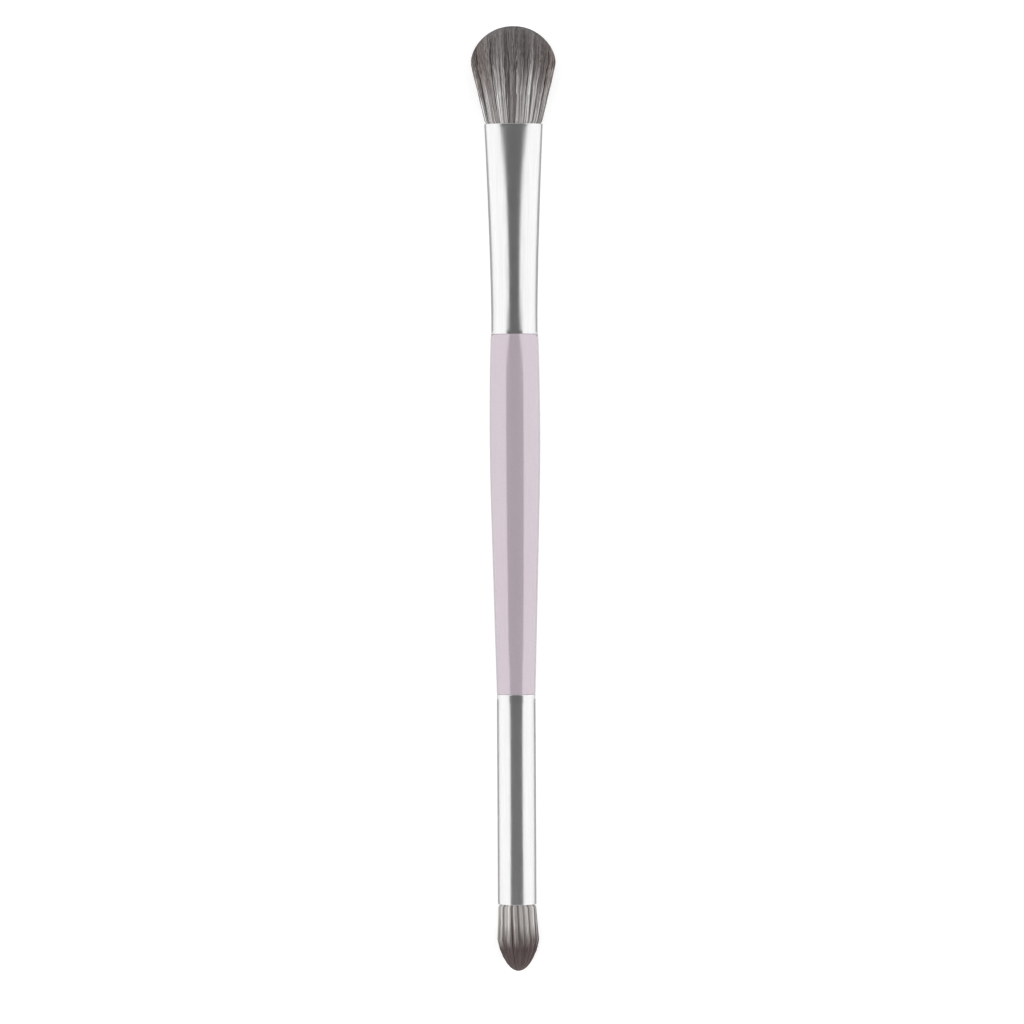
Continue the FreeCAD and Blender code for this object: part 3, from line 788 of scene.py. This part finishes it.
def make_cards():
    """Two overhead make the dark line down the brush, and those under it, its grey edges: they are
    painted shade, grey strips on the table beside the brush.

    Outlines run along the brush, in metres. Overhead, a half width is given over the height."""
    height = 0.12
    over_tip = ((0.80, -0.200), (0.78, -0.088), (0.69, -0.070), (0.69, -0.0455))
    over_rest = (
        (0.86, -0.0455),
        (0.80, 0.000),
        (0.78, 0.033),
        (0.48, 0.038),
        (0.42, 0.050),
        (0.41, 0.074),
        (0.46, 0.080),
        (0.60, 0.085),
        (0.66, 0.092),
        (0.66, 0.200),
    )
    make_card("overhead_card_1", [(slope * height, y, height) for slope, y in over_tip], 0.165)
    make_card("overhead_card_2", [(slope * height, y, height) for slope, y in over_rest], 0.13)
    # The cards under the brush are painted shade of the table beside it, seen only in reflections.
    low, beside_metal, beside_lacquer = 0.00005, 0.38, 0.62
    under_tip = [(0.0105, -0.094, low), (0.0105, -0.038, low)]
    under_handle = [(0.0090, -0.0375, low), (0.0090, 0.031, low)]
    under_head = [(0.0115, 0.0315, low), (0.018, 0.0713, low), (0.018, 0.094, low)]
    make_card("under_card_1", under_tip, beside_metal)
    make_card("under_card_2", under_handle, beside_lacquer)
    make_card("under_card_3", under_head, beside_metal)


def make_lights():
    """A long soft lamp on each side, which reflections don't see."""
    out, along, up = 1.08, 0.05, 0.62
    for side in (-1, 1):
        light = bpy.data.lights.new(f"softbox_{side}", "AREA")
        light.shape = "RECTANGLE"
        light.size, light.size_y = 0.6, 2.0
        light.energy = 10.5
        lamp = bpy.data.objects.new(f"softbox_{side}", light)
        at = Vector((side * out, along, up))
        lamp.location = at
        lamp.rotation_euler = (Vector((0, along, 0)) - at).to_track_quat("-Z", "Y").to_euler()
        lamp.visible_glossy = False
        bpy.context.scene.collection.objects.link(lamp)


def make_world():
    world = bpy.data.worlds.new("studio")
    bpy.context.scene.world = world
    world.use_nodes = True
    nodes, links = world.node_tree.nodes, world.node_tree.links
    back = nodes["Background"]
    back.inputs["Color"].default_value = (1, 1, 1, 1)
    glow = white_for_seeing(nodes, links, lit=0.66, seen=1.0, mirrored=1.0)
    links.new(glow, back.inputs["Strength"])


def make_camera():
    """Over the table and square to it, turned so that the brush leans a little."""
    width, sensor = 0.19502, 36.0
    target = Vector((-0.000633, -0.002466, 0.0045))
    eye = Vector((0.002884, 0.000926, 1.0097))
    camera = bpy.data.cameras.new("camera")
    camera.sensor_width = sensor
    camera.lens = sensor * (eye - target).length / width
    camera.clip_start, camera.clip_end = 0.05, 20
    back = (eye - target).normalized()
    roll = math.radians(0.2738)
    up = Vector((math.sin(roll), math.cos(roll), 0))
    right = up.cross(back).normalized()
    up = back.cross(right)
    turn = Matrix((right, up, back)).transposed()
    seen = bpy.data.objects.new("camera", camera)
    seen.matrix_world = Matrix.Translation(eye) @ turn.to_4x4()
    bpy.context.scene.collection.objects.link(seen)
    bpy.context.scene.camera = seen


make_floor()
make_cards()
make_lights()
make_world()
make_camera()
bpy.context.scene.view_settings.view_transform = "Standard"
